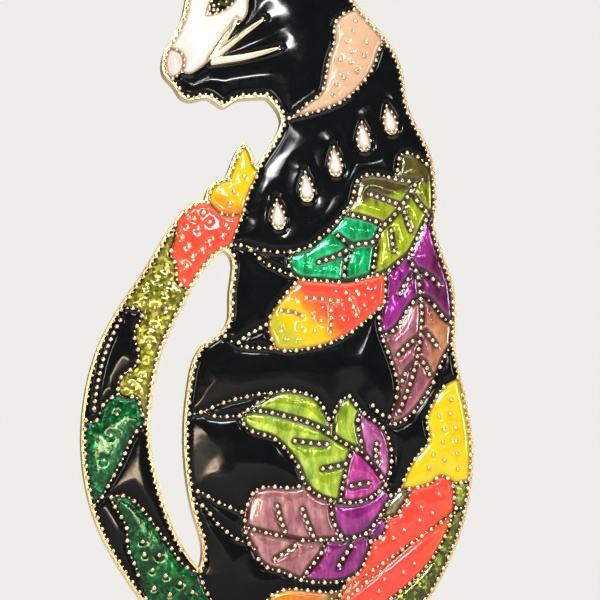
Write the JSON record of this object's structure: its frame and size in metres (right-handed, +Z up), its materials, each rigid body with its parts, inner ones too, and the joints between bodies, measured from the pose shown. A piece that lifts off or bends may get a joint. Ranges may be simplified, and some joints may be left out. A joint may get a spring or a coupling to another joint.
{
  "type": "enamel pin",
  "caption": "Seated cat brooch in gold coloured metal with beaded leaf cells of coloured enamel, a hinged pin stem and a rotating safety catch on the back.",
  "frame": {"origin": "middle of the pin stem's free length, on the stem's axis", "axes": "+Z up along the brooch's height as it is worn, +X to the viewer's right, the enamelled face towards -Y and the pin work on the +Y side"},
  "size_m": [0.0391, 0.009, 0.0754],
  "materials": {
    "gold_cast": "gold plated, fine cast texture, satin back and polished front",
    "gold_pin": "gold plated, polished wire and turned parts",
    "enamel_black": "glossy opaque enamel",
    "enamel_white": "glossy opaque enamel",
    "enamel_nose": "glossy opaque enamel",
    "enamel_iris": "glossy translucent enamel",
    "enamel_lining": "glossy opaque enamel",
    "enamel_tan": "glossy enamel with metallic glitter",
    "enamel_emerald": "glossy translucent enamel with glitter",
    "enamel_lime": "glossy translucent enamel with glitter",
    "enamel_fire": "glossy enamel shaded from yellow to red",
    "enamel_plum": "glossy translucent enamel with glitter",
    "enamel_mauve": "glossy translucent enamel with glitter",
    "enamel_magenta": "glossy translucent enamel with glitter",
    "enamel_yellow": "glossy opaque enamel",
    "enamel_red": "glossy opaque enamel",
    "enamel_green_dark": "glossy translucent enamel with glitter",
    "enamel_olive": "glossy translucent enamel with glitter",
    "enamel_violet": "glossy translucent enamel with glitter",
    "enamel_petal": "glossy enamel shaded from orange to olive"
  },
  "bodies": {
    "brooch": {"cast_body": "gold_cast", "hinge_bracket": "gold_cast", "catch_housing": "gold_cast", "hinge_rivet": "gold_pin", "enamel_face_white": "enamel_white", "enamel_nose": "enamel_nose", "enamel_head_black": "enamel_black", "enamel_eye_iris": "enamel_iris", "enamel_eye_black": "enamel_black", "enamel_ear_linings": "enamel_lining", "enamel_neck_tan": "enamel_tan", "enamel_neck_black": "enamel_black", "enamel_bib_drops": "enamel_white", "enamel_shoulder_leaf_green": "enamel_emerald", "enamel_shoulder_leaf_lime": "enamel_lime", "enamel_chest_black": "enamel_black", "enamel_middle_leaf": "enamel_fire", "enamel_side_leaf_purple": "enamel_plum", "enamel_side_leaf_mauve": "enamel_mauve", "enamel_haunch_black": "enamel_black", "enamel_leg_black": "enamel_black", "enamel_haunch_leaf_lime": "enamel_lime", "enamel_haunch_leaf_purple": "enamel_plum", "enamel_haunch_leaf_magenta": "enamel_magenta", "enamel_low_leaf_mauve": "enamel_mauve", "enamel_low_leaf_purple": "enamel_plum", "enamel_rump_yellow": "enamel_yellow", "enamel_rump_red": "enamel_red", "enamel_rump_green": "enamel_green_dark", "enamel_rump_bronze": "enamel_olive", "enamel_rump_violet": "enamel_violet", "enamel_base_petal": "enamel_petal", "enamel_tail_yellow": "enamel_yellow", "enamel_tail_red": "enamel_red", "enamel_tail_lime": "enamel_lime", "enamel_tail_black_upper": "enamel_black", "enamel_tail_green": "enamel_green_dark", "enamel_tail_black_lower": "enamel_black", "enamel_tail_leaf_green": "enamel_green_dark"},
    "pin": {"pin_stem": "gold_pin"},
    "sleeve": {"catch_rotor": "gold_pin"}
  },
  "joints": [
    {"name": "pin_swing", "type": "hinge", "parent": "brooch", "child": "pin", "pos_m": [0, 0, 0.013], "axis": [1, 0, 0], "range_deg": [0, 75]},
    {"name": "catch_turn", "type": "hinge", "parent": "brooch", "child": "sleeve", "pos_m": [0, 0, -0.013], "axis": [0, 0, 1], "range_deg": [0, 130]}
  ]
}
